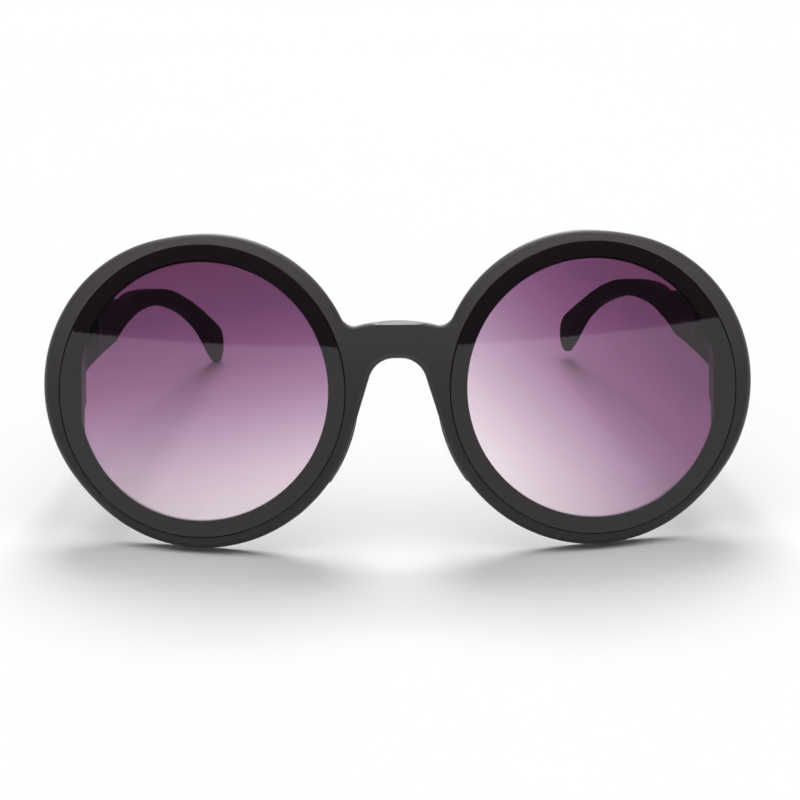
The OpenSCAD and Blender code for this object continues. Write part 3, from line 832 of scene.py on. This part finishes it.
# The photograph's tint fades along a slanted line, turned by these degrees on the left and the right
LEFT_TURN, RIGHT_TURN = 45, -10
lens_left = lens()
lens_right = mirrored(lens_left, "tinted_lens_right")
for pane, side, sign, turn in (
    (lens_left, "left", 1, LEFT_TURN), (lens_right, "right", -1, RIGHT_TURN)
):
    set_down(pane)
    smooth(pane)
    dress(pane, tinted_lens("lens_tint_" + side, sign, turn))
    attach(pane, "front")
    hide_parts("lens_" + side)

bond_left = bond()
pad_left = nose_pad()
for piece, twin, node, material, slot in (
    (bond_left, "bond_ring_right", "lens_bond_", bond_black, "lens_bond"),
    (pad_left, "pad_right", "nose_pad_", pad_matte, "nose_pad"),
):
    for made, side in ((piece, "left"), (mirrored(piece, twin), "right")):
        set_down(made)
        smooth(made)
        dress(made, material)
        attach(made, "front")
        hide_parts(node + side)

for side in ("left", "right"):
    for node, material in (
        ("core_wire_", steel), ("front_leaf_", plated), ("temple_leaf_", plated),
        ("hinge_screw_", plated), ("front_leaf_screws_", plated), ("temple_leaf_screws_", plated),
    ):
        dress(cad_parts[node + side], material)


# Studio


def floor():
    """Pale, almost even ground."""
    bpy.ops.mesh.primitive_plane_add(size=12, location=(0, 0, 0))
    piece = bpy.context.object
    piece.name = "floor"
    finish = Finish("floor_white")
    cloud = finish.noise(finish.place(), 3, 2)
    shader = finish.node(
        "ShaderNodeBsdfPrincipled", None,
        {
            "Base Color": finish.mix(cloud, rgb(0.86, 0.86, 0.86), rgb(0.88, 0.88, 0.88)),
            "Roughness": 0.8,
            "Specular IOR Level": 0.2,
        },
    )
    dress(piece, finish.surface(shader))


# How bright each part of the studio is, and how the card's upper edge slopes, tilts and bows
CARD_LIGHT, BACKDROP_LIGHT, ROOM_LIGHT = 0.95, 1.0, 0.07
KEY_LIGHT, OVERHEAD_LIGHT, FILL_LIGHT = 11.1, 1.5, 0.85
CARD_SLOPE, CARD_TILT, CARD_BOW = 0.2749, 0.0025, 0.012

# Where each part starts and how wide its soft edge is, by height from 0 at the horizon to 1
# overhead, by depth from 0 at the sides to 1 in front or behind, or by the square of its side
CARD_TOP, CARD_FRONT = (0, 0.0012), (0.1, 0.1)
BACKDROP_TOP, BACKDROP_BACK = (0.15, 0.1), (-0.2, 0.1)
OVERHEAD_LOW, FILL_LOW, FILL_FRONT = (0.85, 0.05), (0.6, 0.1), (-0.1, 0.2)
KEY_LOW, KEY_TOP, KEY_SIDE, KEY_BACK = (0.62, 0.04), (0.88, 0.04), (0.04, 0.02), (0.1, 0.1)


def surroundings():
    """Dark room with a white card low in front, a white backdrop behind and beside, and soft light
    from overhead and above behind."""
    world = bpy.data.worlds.new("studio")
    bpy.context.scene.world = world
    finish = Finish("studio", world)
    where = finish.node("ShaderNodeTexCoord").outputs["Generated"]
    parts = finish.node("ShaderNodeSeparateXYZ", None, {"Vector": where})
    x, y, z = (Value(finish, parts.outputs[n]) for n in "XYZ")

    def past(value, start_and_width):
        """Rises from 0 to 1 as a value passes a start."""
        start, width = start_and_width
        return ((value - start) / width).clamped()

    front = y * -1
    edge = z + y * CARD_SLOPE - x * CARD_TILT + x * x / y * CARD_BOW
    card = (1 - past(edge, CARD_TOP)) * past(front, CARD_FRONT)
    backdrop = (1 - past(z, BACKDROP_TOP)) * past(y, BACKDROP_BACK)
    overhead = past(z, OVERHEAD_LOW)
    fill = past(z, FILL_LOW) * past(front, FILL_FRONT) * (1 - overhead)
    strip = past(z, KEY_LOW) - past(z, KEY_TOP)
    key = strip * (1 - past(x * x, KEY_SIDE)) * past(y, KEY_BACK)
    light = (
        card * CARD_LIGHT + backdrop * BACKDROP_LIGHT + overhead * OVERHEAD_LIGHT
        + fill * FILL_LIGHT + key * KEY_LIGHT + ROOM_LIGHT
    )
    back = finish.node("ShaderNodeBackground", None, {"Color": rgb(1, 1, 1), "Strength": light})
    finish.node("ShaderNodeOutputWorld", None, {"Surface": back.outputs[0]})


floor()
surroundings()


# Camera, at the place from which the photograph was taken, with its turns in radians

CAMERA_AT = Vector((-0.153, -430.0, 10.71))
YAW, PITCH, ROLL = -0.0014, -0.0297, 0.0103
SENSOR_W, FOCAL_LENGTH = 36, 93.32
cy, sy, cp, sp, cr, sr = cos(YAW), sin(YAW), cos(PITCH), sin(PITCH), cos(ROLL), sin(ROLL)
look = (
    Matrix(((cy, -sy, 0), (sy, cy, 0), (0, 0, 1)))
    @ Matrix(((1, 0, 0), (0, cp, -sp), (0, sp, cp)))
    @ Matrix(((cr, 0, sr), (0, 1, 0), (-sr, 0, cr)))
)
turned = LEANED.to_3x3() @ look
right, forward, up = (turned.col[i] for i in range(3))
camera_data = bpy.data.cameras.new("camera")
camera_data.sensor_width = SENSOR_W
camera_data.lens = FOCAL_LENGTH
camera_data.clip_start, camera_data.clip_end = 0.01, 60
camera = bpy.data.objects.new("camera", camera_data)
bpy.context.scene.collection.objects.link(camera)
facing = Matrix((right, up, -forward)).transposed().to_4x4()
camera.matrix_world = Matrix.Translation(DOWN @ CAMERA_AT) @ facing
bpy.context.scene.camera = camera
bpy.context.scene.view_settings.view_transform = "Standard"
